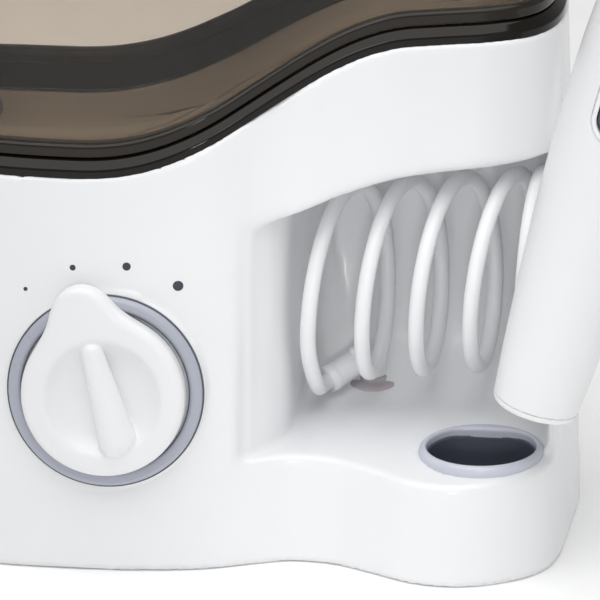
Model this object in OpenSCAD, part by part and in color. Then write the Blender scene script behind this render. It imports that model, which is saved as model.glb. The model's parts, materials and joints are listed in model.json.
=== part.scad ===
// Countertop water flosser: housing with a coil bay, smoked tank, control dial, pump and handset.
// Frame: origin on the table under the middle of the housing, +X right, +Y back, +Z up, millimetres.

/* [Housing] */
// Half of the housing's width
half_w = 100; // [98:0.5:102]
// Wall thickness of the mouldings
wall = 2.5; // [2:0.1:3]
// Height of the left-hand deck edge
deck_low = 116; // [114:0.5:118]
// Rise of the wave from left to right
wave_rise = 36; // [34:0.5:38]
// Share of width kept at the reference height
taper_x = 0.966; // [0.96:0.001:0.97]
// Share of depth kept at the reference height
taper_y = 0.83; // [0.82:0.005:0.85]

/* [Bay] */
// Shelf height at the front
shelf_z = 30.5; // [30:0.1:31]
// Slope of the shelf, in degrees
shelf_tilt = 6; // [5.5:0.1:6.5]
// Face of the bay's rear wall
bay_back = 33; // [32.5:0.1:34]
// Inner face of the bay's right-hand wall
bay_right = 95.8; // [95.5:0.1:96]

/* [Tank] */
// Height of the tank's top edge
tank_top = 184; // [180:1:188]
// Thickness of the tank's walls
tank_wall = 2; // [1.8:0.1:2.4]

/* [Dial] */
// Outer radius of the dial's ring
ring_r = 28.2; // [27.8:0.1:28.6]
// Radius of the dial's disc
dial_r = 24; // [23.5:0.1:24]
// Radius on which the four dots lie
dot_r = 37.2; // [36.8:0.1:38]

/* [Hose] */
// Diameter of the hose
hose_d = 4.6; // [4.4:0.1:5]
// Outer diameter of the coil
coil_d = 60; // [59:0.5:60]

/* [Handset] */
// Lean of the stored handset, in degrees
lean = 15.5; // [15:0.1:16]
// Length of the handset's body
grip_l = 150; // [148:1:152]

/* [Drive] */
// Teeth of the crank gear
gear_teeth = 36; // [36:1:36]
// Teeth of the motor's pinion
pinion_teeth = 12; // [12:1:12]
// Radius of the crank pin's circle
crank_r = 6; // [5:0.5:6.5]

/* [Hidden] */
$fn = 48;

taper_h = 160;
high_edge = 152;
mid_edge = 134;
ref_front = -45;
wave_turn = 8;
dial_pos = [-27.5, -51.2, 54];
dial_tilt = 3.5;
dot_angles = [-39.2, -15.4, 8.7, 33];
dot_sizes = [0.6, 0.85, 1.2, 1.5];
dial_rest = -15.4;
socket_pos = [77.9, -28.5];
socket_r = 15.75;
grip_base = [94, -44, 48];
grip_seam = 6.4;
switch_h = 104;
eject_h = 130;
gear_pos = [-46, 15];
gear_z = 54.5;
gear_module = 1;
pump_z = 69.5;
spigot_pos = [-78.5, 18];
screw_spots = [[-84, -30], [-84, 38], [-5, 47], [84, 40], [84, -32], [4, -34]];
rib_feet = [[-96, -33], [-98, 40], [-5, 54], [96, 41], [92, -41.5], [4, -46]];
coil_ends = [[29.5, 72.5], [91, 79.5]];
// Route of the hose between the coil and the handset
lead_route = [
  [92, 0, 52], [92, -5, 52.4], [92.2, -10, 53.6], [92.5, -15, 56], [92.8, -20, 59], [93, -23.6, 60.5],
  [93, -26.6, 60.7]
];

// Plan outlines at table level, anticlockwise from the left front corner
base_pts = [
  [-98, -36], [-80, -48], [-58, -53], [-38, -54], [-18, -53], [0, -49.5], [13, -43.5], [24, -39], [36, -40],
  [48, -46], [60, -53], [73, -55], [86, -50], [96, -40], [half_w, -26], [half_w, 0], [99, 30], [94, 48],
  [80, 55], [40, 56], [0, 56], [-50, 56], [-86, 53], [-98, 42], [-half_w, 20], [-half_w, -15]
];
top_pts = [
  [-98, -36], [-80, -48], [-58, -53], [-38, -54], [-18, -53], [0, -49.5], [12, -44.5], [25, -39.5], [40, -34],
  [54, -29], [68, -23.5], [81, -18.5], [92, -11], [98, 0], [half_w, 16], [98, 38], [92, 50],
  [80, 55], [40, 56], [0, 56], [-50, 56], [-86, 53], [-98, 42], [-half_w, 20], [-half_w, -15]
];

function spline(a, b, c, d, t) =
  0.5 * (2 * b + (c - a) * t + (2 * a - 5 * b + 4 * c - d) * t * t + (3 * b - a - 3 * c + d) * t * t * t);
function closed_curve(p, n = 3) =
  let (m = len(p))
  [for (i = [0 : m - 1], k = [0 : n - 1]) spline(p[(i + m - 1) % m], p[i], p[(i + 1) % m], p[(i + 2) % m], k / n)];
function unit(v) = v / norm(v);
// Moves each point of an anticlockwise outline inwards
function inset(p, d) =
  let (m = len(p))
  [for (i = [0 : m - 1]) let (t = unit(p[(i + 1) % m] - p[(i + m - 1) % m])) p[i] + d * [-t[1], t[0]]];
function scaled(p, z) =
  let (q = z / taper_h) [for (v = p) [v[0] * (1 - (1 - taper_x) * q), v[1] * (1 - (1 - taper_y) * q)]];
function clamp(v, lo, hi) = min(max(v, lo), hi);
function wave_z(s) =
  let (t = clamp((s + 38) / 98, 0, 1)) deck_low + wave_rise * (1 - cos(180 * pow(t, 1.15))) / 2;
function circle_pts(n, r) = [for (i = [0 : n - 1]) r * [cos(360 * i / n), sin(360 * i / n)]];

top_curve = closed_curve(top_pts);
base_curve = closed_curve(base_pts);

// Everything between two copies of the wave surface, moved up by lo and hi
module wave_band(lo, hi) {
  stations = [for (s = [-125 : 9 : 145]) s];
  translate([0, ref_front, 0]) rotate([0, 0, wave_turn]) translate([0, 150, 0]) rotate([90, 0, 0])
    linear_extrude(height = 240)
      polygon(concat(
        [for (s = stations) [s, wave_z(s) + lo]],
        [for (i = [len(stations) - 1 : -1 : 0]) [stations[i], wave_z(stations[i]) + hi]]));
}

// A prism of the upper outline as it is at the given height, brought in by d
module upper_prism(d, z0, z1, at = high_edge)
  translate([0, 0, z0]) linear_extrude(height = z1 - z0) polygon(inset(scaled(top_curve, at), d));

module tapered(outline, d, z1)
  linear_extrude(
    height = z1, slices = 1,
    scale = [1 - (1 - taper_x) * z1 / taper_h, 1 - (1 - taper_y) * z1 / taper_h])
    polygon(inset(outline, d));

// The half space under the shelf, moved down by d
module under_shelf(d)
  translate([0, -50, shelf_z - d]) rotate([shelf_tilt, 0, 0]) translate([-150, -60, -100]) cube([300, 200, 100]);

// The coil bay, grown by g on all sides
module bay(g) {
  intersection() {
    translate([0, 0, -5]) linear_extrude(height = 160) offset(r = g, $fn = 20)
      polygon([
        [6, -70], [9, -44], [13, -37], [18, -30], [21, -22], [22, -8], [23, 20], [26, 29], [33, bay_back],
        [bay_right - 6.8, bay_back], [bay_right - 2.2, bay_back - 2], [bay_right - 0.5, bay_back - 11],
        [bay_right, 4], [bay_right, -70]
      ]);
    translate([0, 100, 0]) rotate([90, 0, 0]) linear_extrude(height = 200) offset(r = g, $fn = 20)
      polygon([
        [-20, 0], [130, 0], [130, 115], [97, 115], [76, 114], [54, 112.5], [38, 108.5], [23, 103], [12, 101],
        [-20, 100]
      ]);
  }
}

module bay_space(g) difference() { bay(g); under_shelf(g - 0.02); }

module at_dial() translate(dial_pos) rotate([90 - dial_tilt, 0, 0]) children();
module at_grip() translate(grip_base) rotate([0, lean, 0]) children();
module at_socket()
  translate([socket_pos[0], socket_pos[1], shelf_z + tan(shelf_tilt) * (socket_pos[1] + 50)])
    rotate([shelf_tilt, 0, 0]) children();

module outer_form() {
  difference() {
    union() {
      tapered(top_curve, 0, 158);
      intersection() { tapered(base_curve, 0, 50); under_shelf(0); }
      at_dial() translate([0, 0, -9]) cylinder(r = ring_r + 0.6, h = 9);
    }
    wave_band(0, 120);
    bay_space(0);
  }
  right_gusset();
  rear_fillet();
}

// Brings the right-hand wall's front edge forward towards the shelf
module right_gusset() hull() {
  translate([bay_right + 0.1, -30, 26]) cube([3.1, 34, 1]);
  translate([bay_right + 0.1, -6, 112]) cube([1.5, 8, 1]);
}

// Soft corner between the shelf and the bay's rear wall
module rear_fillet() hull() {
  translate([22, 20, 36]) cube([74.5, 1, 1]);
  translate([22, bay_back + 0.1, 36]) cube([74.5, 1, 20]);
  translate([22, 25, 36]) cube([74.5, 1, 7]);
}

module main_housing() color("white") difference() {
  union() {
    difference() {
      outer_form();
      difference() {
        union() {
          translate([0, 0, -1]) tapered(top_curve, wall, 160);
          intersection() { translate([0, 0, -1]) tapered(base_curve, wall, 50); under_shelf(wall); }
        }
        bay_space(wall);
        at_dial() translate([0, 0, -5]) cylinder(r = ring_r + 1, h = 9);
      }
    }
    for (i = [0 : len(screw_spots) - 1]) {
      hull() {
        translate([screw_spots[i][0], screw_spots[i][1], 4.3]) cylinder(r = 4, h = 1, $fn = 24);
        translate([screw_spots[i][0], screw_spots[i][1], 17]) cylinder(r = 3.4, h = 1, $fn = 24);
      }
      hull() for (q = [screw_spots[i], rib_feet[i]]) translate([q[0], q[1], 4.6]) cylinder(r = 1, h = 12, $fn = 12);
    }
  }
  for (s = screw_spots) translate([s[0], s[1], 0]) cylinder(r = 1.6, h = 16, $fn = 24);
  at_dial() translate([0, 0, -15]) cylinder(r = 5.5, h = 30);
  at_socket() translate([0, 0, -30]) cylinder(r = 17.2, h = 60);
  translate([41, 15, 20]) cylinder(r = 4, h = 30);
  translate([-60, 70, 22]) rotate([90, 0, 0]) cylinder(r = 8.3, h = 40);
  translate([-150, -150, -10]) cube([300, 300, 10.3]);
}

module bottom_cover() color("gainsboro") difference() {
  translate([0, 0, 1.2]) linear_extrude(height = 2.8) polygon(inset(base_curve, wall + 0.6));
  linear_extrude(height = 2) difference() { foot_shape(0.2); foot_shape(-5.2); }
  for (s = screw_spots) translate([s[0], s[1], 0]) {
    cylinder(r = 1.7, h = 10);
    cylinder(r = 3.6, h = 2.4);
  }
}

// Rounded rectangle of the anti-slip ring, grown by g
module foot_shape(g) {
  r = 18 + g;
  for (x = [-66, 66], y = [-12, 24]) translate([x, y]) circle(r = r);
  translate([-66, -12 - r]) square([132, 36 + 2 * r]);
  translate([-66 - r, -12]) square([132 + 2 * r, 36]);
}

module foot_ring() color("dimgray") linear_extrude(height = 2)
  difference() { foot_shape(0); foot_shape(-5); }

module housing_screws() color("silver") for (s = screw_spots) translate([s[0], s[1], 1.4]) difference() {
  union() { cylinder(r = 3.2, h = 1); cylinder(r = 1.5, h = 12); }
  translate([0, 0, -1]) cylinder(r = 1.2, h = 1.6, $fn = 6);
}

// Black glossy frame and deck that carry the tank
module tank_tray() color("#1a1712") difference() {
  union() {
    intersection() { upper_prism(0.6, 105, 175, mid_edge); wave_band(0.2, 5); }
    intersection() { upper_prism(wall + 0.3, 100, 175); wave_band(-8, 5); }
  }
  intersection() { upper_prism(wall + 1.9, 100, 190); wave_band(-5.4, 20); }
  translate([spigot_pos[0], spigot_pos[1], 90]) cylinder(r = 5.2, h = 40);
}

module inlet_spigot() color("silver") translate([spigot_pos[0], spigot_pos[1], 0]) {
  difference() {
    union() {
      translate([0, 0, 98]) cylinder(r = 5, h = 15);
      translate([0, 0, 104]) cylinder(r = 8, h = 2.6);
      translate([0, 0, 88]) cylinder(r = 3, h = 11);
    }
    translate([0, 0, 80]) cylinder(r = 1.8, h = 40);
  }
}

module spigot_seal() color("dimgray") translate([spigot_pos[0], spigot_pos[1], 112.2])
  difference() { cylinder(r = 6.4, h = 1.4); translate([0, 0, -1]) cylinder(r = 5.05, h = 4); }

module dial_ring() color("#a9aebd") at_dial() rotate_extrude()
  polygon([
    [dial_r + 0.5, 0.05], [ring_r, 0.05], [ring_r, 1.4], [ring_r - 0.8, 2.2], [dial_r + 1.1, 2.2],
    [dial_r + 0.5, 1.7]
  ]);

// Radial peg whose face stands just proud of the curved wall
module dial_marks() color("#3a3d45") for (i = [0 : 3]) {
  a = dot_angles[i];
  px = dial_pos[0] + dot_r * sin(a);
  bulge = 0.0031 * pow(px + 38, 2) - 0.3;
  at_dial() translate([dot_r * sin(a), dot_r * cos(a), -bulge - 2.4]) cylinder(r = dot_sizes[i], h = 2.8);
}

module dial_knob() color("white") at_dial() rotate([0, 0, -dial_rest]) difference() {
  union() {
    translate([0, 0, 0.9]) cylinder(r = dial_r, h = 6.6);
    translate([0, 0, 7.4]) cylinder(r1 = dial_r, r2 = dial_r - 1.6, h = 1.2);
    translate([0, 25.4, 3]) cylinder(r = 8, h = 5.4);
    translate([-8, 14, 3]) cube([16, 11.4, 5.4]);
    difference() {
      translate([0, 0, 2]) rotate([90, 0, 0]) cylinder(r = 9.6, h = 36, center = true);
      translate([0, 0, -20]) cube([80, 80, 46], center = true);
    }
  }
  difference() {
    translate([0, -1, 40]) sphere(r = 36, $fn = 96);
    rotate([90, 0, 0]) translate([0, 2, 0]) cylinder(r = 9.6, h = 60, center = true);
  }
  translate([0, 0, -1]) cylinder(r = 4.3, h = 4.9);
}

module dial_stem() color("silver") at_dial() translate([0, 0, -20]) cylinder(r = 4, h = 23.6);

module regulator_body() color("gray") at_dial() difference() {
  union() {
    translate([0, 0, -22]) cylinder(r = 13, h = 16.6);
    translate([0, 0, -16]) rotate([0, 90, 0]) cylinder(r = 3, h = 24);
    translate([0, 0, -16]) rotate([90, 0, 0]) cylinder(r = 3, h = 24);
  }
  translate([0, 0, -20.6]) cylinder(r = 4.06, h = 30);
}

module socket_ring() color("#c5c8d8") at_socket() rotate_extrude()
  polygon([[socket_r + 0.2, -3], [17, -3], [17, 0.2], [18.15, 0.2], [18, 1], [17.2, 1.5], [socket_r + 0.4, 1.1]]);

// Cup for the foot of the handset, flat at the back
module socket_cup() color("#4a4d58") at_socket() difference() {
  translate([0, 0, -18.3]) cylinder(r = 16.9, h = 15);
  difference() {
    translate([0, 0, -16.9]) cylinder(r = socket_r - 0.3, h = 40);
    translate([-20, 13.3, -30]) cube([40, 10, 60]);
  }
  translate([0, 0, -30]) cylinder(r = 2, h = 30);
}

module handle_cradle() color("white") difference() {
  translate([95.9, -30.5, 64]) cube([9.6, 15.2, 12]);
  at_grip() cylinder(r = 14.7, h = 60);
  at_grip() translate([0, 0, 22]) rotate([-90, 0, 0]) cylinder(r = 4.1, h = 18);
}

module cradle_magnet() color("silver") at_grip() translate([0, 0, 22]) rotate([-90, 0, 0])
  translate([0, 0, 14.9]) cylinder(r = 4, h = 3);

module hose_flange() color("gainsboro") translate([41, 15, 37.6]) rotate([shelf_tilt, 0, 0]) difference() {
  cylinder(r = 8, h = 1.6);
  translate([0, 0, -1]) cylinder(r = 3.6, h = 4);
}

module hose_elbow() color("white") {
  translate([41, 15, 26]) cylinder(r = 3.4, h = 17);
  translate([41, 15, 43]) sphere(r = 3.4, $fn = 24);
  translate([41, 15, 43]) rotate([0, 0, 218]) rotate([0, 90, 0]) cylinder(r = 3.4, h = 17);
}

// Fat tube that holds every turn of the hose
module hose_coil() color("white") {
  dx = coil_ends[1][0] - coil_ends[0][0];
  dz = coil_ends[1][1] - coil_ends[0][1];
  translate([coil_ends[0][0], 0, coil_ends[0][1]]) rotate([0, atan2(dx, dz), 0])
    cylinder(r = coil_d / 2, h = norm([dx, dz]));
}

function ring_at(p, t, r, n, side) =
  let (u = unit(cross(t, side)), v = cross(t, u))
  [for (i = [0 : n - 1]) p + r * (cos(360 * i / n) * u + sin(360 * i / n) * v)];

// Round tube of n sides along a route that lies across the given side direction
module swept_tube(route, r, side, n = 8) {
  m = len(route);
  tangents = [for (i = [0 : m - 1]) unit(route[min(i + 1, m - 1)] - route[max(i - 1, 0)])];
  points = [for (i = [0 : m - 1]) each ring_at(route[i], tangents[i], r, n, side)];
  sides = [for (i = [0 : m - 2], k = [0 : n - 1])
    [i * n + k, i * n + (k + 1) % n, (i + 1) * n + (k + 1) % n, (i + 1) * n + k]];
  first = [for (k = [n - 1 : -1 : 0]) k];
  last = [for (k = [0 : n - 1]) (m - 1) * n + k];
  polyhedron(points = points, faces = concat([first], sides, [last]), convexity = 6);
}

module hose_lead() color("white") swept_tube(lead_route, hose_d / 2, [1, 0, 0]);

module chassis() color("gray") {
  difference() {
    translate([-89, -36, 8.5]) cube([101, 80, 3]);
    translate([-46, 15, 0]) cylinder(r = 9, h = 30);
    translate([gear_pos[0] - 24, gear_pos[1], 0]) cylinder(r = 6, h = 30);
    for (s = screw_spots) translate([s[0], s[1], 0]) cylinder(r = 6, h = 30);
  }
  for (p = [[-70, -28], [-70, 38], [-20, -28], [-20, 38]]) translate([p[0], p[1], 4.05]) cylinder(r = 4, h = 4.6);
}

// Raised plate that holds the motor, the crank gear and the pump in line
module gear_frame() color("gray") difference() {
  union() {
    translate([-88, -4, 49.6]) cube([100, 38, 2.8]);
    for (p = [[-86, 0], [-86, 30], [8, 0], [8, 30], [-46, 31], [-46, -1]])
      translate([p[0], p[1], 11.6]) cylinder(r = 2.2, h = 38.2);
    translate([-12, 6, 52]) cube([22, 18, 7.2]);
  }
  translate([gear_pos[0] - 24, gear_pos[1], 40]) cylinder(r = 4.5, h = 30);
  translate([gear_pos[0], gear_pos[1], 40]) cylinder(r = 2, h = 30);
  translate([6, 15, 40]) cylinder(r = 3.3, h = 30);
}

module motor_can() color("silver") translate([gear_pos[0] - 24, gear_pos[1], 0]) difference() {
  union() {
    translate([0, 0, 11.6]) cylinder(r = 14, h = 36);
    translate([0, 0, 47]) cylinder(r = 4.2, h = 3.2);
  }
  translate([0, 0, 30]) cylinder(r = 1.22, h = 30);
}

module motor_shaft() color("silver") translate([gear_pos[0] - 24, gear_pos[1], 31]) cylinder(r = 1.15, h = 30);

// Spur gear with straight-sided teeth on a true hub
module gear_form(teeth, h, bore) difference() {
  pitch = teeth * gear_module / 2;
  union() {
    cylinder(r = pitch - 1.2, h = h);
    for (i = [0 : teeth - 1]) rotate([0, 0, 360 * (i + 0.5) / teeth])
      linear_extrude(height = h)
        polygon([[pitch - 1.5, -0.8], [pitch, -0.66], [pitch + 0.75, -0.32], [pitch + 0.75, 0.32],
          [pitch, 0.66], [pitch - 1.5, 0.8]]);
  }
  translate([0, 0, -1]) cylinder(r = bore, h = h + 2);
}

module motor_pinion() color("gold") translate([gear_pos[0] - 24, gear_pos[1], gear_z])
  gear_form(pinion_teeth, 6, 1.15);

module drive_gear() color("ivory") translate([gear_pos[0], gear_pos[1], gear_z])
  rotate([0, 0, 180 / gear_teeth]) gear_form(gear_teeth, 6, 2.06);

module crank_pin() color("silver") translate([gear_pos[0] + crank_r, gear_pos[1], gear_z + 6]) cylinder(r = 2, h = 4);

module gear_axle() color("silver") translate([gear_pos[0], gear_pos[1], 48]) cylinder(r = 2, h = 13.4);

// Open-ended cylinder with inlet and outlet stubs, its axis along X
module pump_body() color("whitesmoke") difference() {
  union() {
    translate([-26, 15, pump_z]) rotate([0, 90, 0]) cylinder(r = 10, h = 38);
    translate([4, 15, pump_z]) cylinder(r = 3, h = 16);
    translate([6, 15, 40]) cylinder(r = 3, h = 22);
  }
  translate([-27, 15, pump_z]) rotate([0, 90, 0]) cylinder(r = 6.05, h = 36);
  translate([4, 15, pump_z]) cylinder(r = 1.5, h = 20);
}

module pump_piston() color("ivory") translate([-12, 15, pump_z]) rotate([0, 90, 0]) cylinder(r = 6, h = 8);

// Rod whose eye rides just above the crank pin
module piston_rod() color("silver") difference() {
  union() {
    translate([gear_pos[0] + crank_r, gear_pos[1], gear_z + 10.6]) cylinder(r = 5, h = 5);
    translate([gear_pos[0] + crank_r, gear_pos[1] - 1.6, gear_z + 13]) cube([28, 3.2, 2.6]);
  }
  translate([gear_pos[0] + crank_r, gear_pos[1], gear_z + 8]) cylinder(r = 2.2, h = 10);
}

module inlet_tube() color("white") swept_tube(
  [[4, 15, 85.6], [3.6, 15, 89], [1, 15.2, 92], [-5, 15.4, 93.4], [-14, 15.8, 91], [-30, 16.4, 84], [-48, 17, 79],
    [-66, 17.6, 77.4], [-74.4, 17.9, 79.2], [-78, 18, 83], [-78.5, 18, 88]], 2.2, [0, 1, 0]);

module outlet_tube() color("white") swept_tube(
  [[6, 15, 40], [6.4, 15, 32], [8, 15, 24], [12, 15, 18.4], [20, 15, 15.6], [28, 15, 15.4], [35, 15, 17],
    [39.6, 15, 20.6], [41, 15, 26]], 2.4, [0, 1, 0]);

module power_board() color("darkgreen") {
  translate([-76, -33, 13]) cube([38, 27, 1.6]);
  translate([-72, -29, 14.6]) cube([16, 14, 12]);
  translate([-48, -22, 14.6]) cylinder(r = 5, h = 16);
  translate([-52, -13, 14.6]) cube([10, 5, 6]);
}

module control_board() color("darkgreen") {
  translate([-34, -28, 13]) cube([30, 20, 1.6]);
  translate([-28, -22, 14.6]) cube([9, 9, 2]);
  translate([-12, -18, 14.6]) cylinder(r = 3, h = 8);
}

module power_inlet() color("#333333") translate([-60, 57.4, 22]) rotate([90, 0, 0]) difference() {
  union() { cylinder(r = 10, h = 2.4); cylinder(r = 8, h = 12); }
  translate([0, 0, -1]) cylinder(r = 3.6, h = 20);
}

module water_tank() color("#8a7560", 0.6) difference() {
  union() {
    intersection() { upper_prism(1.5, 105, 180, mid_edge); wave_band(5.3, 9.4); }
    difference() { upper_prism(wall + 2.3, 105, tank_top); wave_band(-130, -5); }
  }
  difference() { upper_prism(wall + 2.3 + tank_wall, 105, tank_top + 5); wave_band(-130, -2.6); }
  translate([spigot_pos[0], spigot_pos[1], 90]) cylinder(r = 8.2, h = 40);
}

// Valve body with a pocket underneath for the seal and one on top for the spring
module valve_housing() color("dimgray") translate([spigot_pos[0], spigot_pos[1], 0]) difference() {
  union() {
    translate([0, 0, 111.4]) cylinder(r = 8, h = 11.5);
    translate([0, 0, 113.5]) cylinder(r = 11, h = 1.5);
  }
  translate([0, 0, 100]) cylinder(r = 3.2, h = 40);
  translate([0, 0, 100]) cylinder(r = 7, h = 13.9);
  translate([0, 0, 118.4]) cylinder(r = 6, h = 10);
}

module valve_plunger() color("silver") translate([spigot_pos[0], spigot_pos[1], 0]) {
  translate([0, 0, 113.3]) cylinder(r = 2.9, h = 12);
  translate([0, 0, 121.7]) cylinder(r = 5, h = 1.4);
}

module valve_spring() color("silver") translate([spigot_pos[0], spigot_pos[1], 0])
  for (i = [0 : 1]) translate([0, 0, 118.8 + 1.2 * i]) rotate_extrude() translate([4.2, 0]) circle(r = 0.35, $fn = 16);

module tank_lid() color("#6b5c4e") difference() {
  union() {
    upper_prism(wall + 1.6, tank_top + 0.3, tank_top + 4.3);
    upper_prism(wall + 2.6 + tank_wall, tank_top - 4, tank_top + 1);
  }
  upper_prism(wall + 2.6 + 2 * tank_wall, tank_top - 5, tank_top + 1.8);
  translate([-60, 0, tank_top + 3]) cylinder(r = 18, h = 5);
}

// Radius of the handset along its own axis
grip_line = [
  [12.5, grip_seam], [13.4, 16], [14.4, 30], [15.4, 46], [16.4, 66], [17, 88], [17, 110], [16.2, 128], [14.8, 141],
  [13, grip_l]
];

module grip_shell() rotate_extrude($fn = 72) polygon(concat(
  grip_line, [for (i = [len(grip_line) - 1 : -1 : 0]) [grip_line[i][0] - 2, grip_line[i][1]]]));

module oval(w, h) {
  square([w, h - w], center = true);
  translate([0, (h - w) / 2]) circle(d = w);
  translate([0, (w - h) / 2]) circle(d = w);
}

// Puts a flat drawing on the front of the handset, at a distance in front of its axis
module on_front(h, depth) translate([0, -depth, h]) rotate([90, 0, 0]) children();

module grip_front_shell() color("white") at_grip() difference() {
  grip_shell();
  translate([-30, 0.1, -5]) cube([60, 30, grip_l + 20]);
  on_front(switch_h, 5) linear_extrude(height = 20) oval(15.2, 22.2);
  on_front(eject_h, 5) cylinder(r = 4.4, h = 20);
}

module grip_rear_shell() color("white") at_grip() difference() {
  grip_shell();
  translate([-30, -30.1, -5]) cube([60, 30.2, grip_l + 20]);
  translate([-4.4, 0, 12]) rotate([-90, 0, 0]) cylinder(r = 3.9, h = 30);
}

module grip_end_cap() color("white") at_grip() rotate_extrude($fn = 72)
  polygon([[0, 4], [9.8, 4], [11.6, 4.5], [12.2, 5.3], [12.3, 6.2], [10.2, 6.2], [10.2, 8.2], [0, 8.2]]);

// Barbed inlet of the handset, pointing back into the bay
module hose_nipple() color("white") at_grip() translate([-4.4, 3.2, 12]) rotate([-90, 0, 0]) difference() {
  cylinder(r = 3.5, h = 13.8);
  translate([0, 0, 3]) cylinder(r = 1.5, h = 20);
}

module grip_tube() color("white") at_grip() difference() {
  union() {
    translate([0, 0, 8.5]) cylinder(r = 3, h = 136);
    translate([0, 0, 94]) cylinder(r = 6, h = 22);
  }
  translate([0, 0, 20]) cylinder(r = 1.5, h = 140);
}

module grip_keeper() color("silver") at_grip() translate([0, 0, 22]) rotate([-90, 0, 0])
  translate([0, 0, 9.8]) cylinder(r = 3.6, h = 1.2);

module switch_bezel() color("white") at_grip() on_front(switch_h, 12.6) linear_extrude(height = 5)
  difference() { oval(15, 22); oval(12, 19); }

module switch_slider() color("#5a6070") at_grip() {
  on_front(switch_h - 2.6, 12.8) linear_extrude(height = 3.4) oval(11.4, 13);
  for (i = [-1 : 1]) on_front(switch_h - 2.6 + 2.4 * i, 16) linear_extrude(height = 1) square([7, 1], center = true);
}

module eject_button() color("white") at_grip() on_front(eject_h, 10.4) cylinder(r = 4.1, h = 6.4);

module eject_spring() color("silver") at_grip() for (i = [0 : 1])
  on_front(eject_h, 7.2 + i) rotate_extrude() translate([2.6, 0]) circle(r = 0.35, $fn = 16);

module tip_collar() color("#c5c8d8") at_grip() translate([0, 0, grip_l + 0.4]) difference() {
  union() {
    cylinder(r = 12, h = 6);
    translate([0, 0, 6]) cylinder(r1 = 12, r2 = 8, h = 4);
    for (i = [0 : 17]) rotate([0, 0, 20 * i]) translate([12, 0, 0]) cylinder(r = 0.7, h = 6, $fn = 16);
  }
  translate([0, 0, -1]) cylinder(r = 3.3, h = 20);
}

module jet_tip() color("white") at_grip() difference() {
  union() {
    translate([0, 0, grip_l + 0.8]) cylinder(r = 3, h = 16);
    translate([0, 0, grip_l + 10.8]) cylinder(r = 5.4, h = 2.4);
    translate([0, 0, grip_l + 13]) cylinder(r1 = 4.6, r2 = 2.4, h = 10);
    translate([0, 0, grip_l + 22.9]) cylinder(r1 = 2.4, r2 = 1.7, h = 39);
    translate([0, 0, grip_l + 61]) sphere(r = 1.75, $fn = 24);
    translate([0, 0, grip_l + 61]) rotate([70, 0, 0]) cylinder(r1 = 1.7, r2 = 1.2, h = 8);
  }
  translate([0, 0, grip_l - 4]) cylinder(r = 1, h = 50);
}

main_housing();
bottom_cover();
foot_ring();
housing_screws();
tank_tray();
inlet_spigot();
spigot_seal();
dial_ring();
dial_marks();
regulator_body();
dial_knob();
dial_stem();
socket_ring();
socket_cup();
handle_cradle();
cradle_magnet();
hose_flange();
hose_elbow();
hose_coil();
hose_lead();
chassis();
gear_frame();
motor_can();
motor_shaft();
motor_pinion();
drive_gear();
crank_pin();
gear_axle();
pump_body();
pump_piston();
piston_rod();
inlet_tube();
outlet_tube();
power_board();
control_board();
power_inlet();
water_tank();
valve_housing();
valve_plunger();
valve_spring();
tank_lid();
grip_front_shell();
grip_rear_shell();
grip_end_cap();
hose_nipple();
grip_tube();
grip_keeper();
switch_bezel();
switch_slider();
eject_button();
eject_spring();
tip_collar();
jet_tip();
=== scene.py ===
"""Looks of a countertop water flosser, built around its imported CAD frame.

Lengths in the shape functions are millimetres, as in the CAD source, and become metres when a mesh is made.
Rounded mouldings are distance fields, meshed by skin(). Shapes that follow an outline are made by band().
"""

import json
import math

import bmesh
import bpy
import numpy as np
from mathutils import Matrix, Vector


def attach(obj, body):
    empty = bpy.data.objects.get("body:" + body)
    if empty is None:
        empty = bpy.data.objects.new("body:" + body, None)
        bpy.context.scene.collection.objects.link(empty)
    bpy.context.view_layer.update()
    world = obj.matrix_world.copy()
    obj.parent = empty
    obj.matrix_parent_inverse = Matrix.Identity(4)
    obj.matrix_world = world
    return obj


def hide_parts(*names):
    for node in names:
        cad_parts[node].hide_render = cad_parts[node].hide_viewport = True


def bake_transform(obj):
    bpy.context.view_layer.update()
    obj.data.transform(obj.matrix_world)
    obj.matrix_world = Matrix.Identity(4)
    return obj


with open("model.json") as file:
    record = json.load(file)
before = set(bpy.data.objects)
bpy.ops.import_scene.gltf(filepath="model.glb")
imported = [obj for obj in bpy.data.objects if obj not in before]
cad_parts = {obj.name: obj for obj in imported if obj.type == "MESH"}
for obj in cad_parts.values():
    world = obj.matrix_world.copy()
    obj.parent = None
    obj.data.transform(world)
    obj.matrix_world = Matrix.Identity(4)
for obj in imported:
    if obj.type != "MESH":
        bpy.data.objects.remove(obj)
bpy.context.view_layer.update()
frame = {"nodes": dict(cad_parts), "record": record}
MM = 0.001

# ---------------------------------------------------------------- sizes shared with the CAD source, in mm
WALL = 2.5
TABLE_HEIGHTS = 100  # a profile's height counts from the table from here up, and from the wave below
DECK_LOW, WAVE_RISE = 116.0, 36.0
TAPER_X, TAPER_Y, TAPER_H = 0.966, 0.83, 160.0
REF_FRONT, WAVE_TURN = -45.0, math.radians(8)
WAVE_START, WAVE_RUN, WAVE_EASE = -38, 98, 1.15
SHELF_Z, SHELF_FRONT, SHELF_TILT = 30.5, -50, math.radians(6)
BAY_BACK, BAY_RIGHT = 33.0, 95.8
TANK_TOP, TANK_WALL = 184.0, 2.0
HIGH_EDGE = 152.0
DIAL_POS, DIAL_TILT = Vector((-27.5, -51.2, 54)), math.radians(3.5)
RING_R, DIAL_R, DOT_R = 28.2, 24.0, 37.2
DOTS = [(-39.2, 0.6), (-15.4, 0.85), (8.7, 1.2), (33.0, 1.5)]
DIAL_REST = math.radians(-15.4)
SOCKET_XY, SOCKET_R = (77.9, -28.5), 15.75
HOSE_R = 2.3
GRIP_BASE, LEAN = Vector((94, -44, 48)), math.radians(15.5)
GRIP_L, GRIP_SEAM, SWITCH_H, EJECT_H = 150.0, 6.4, 104.0, 130.0

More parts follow.
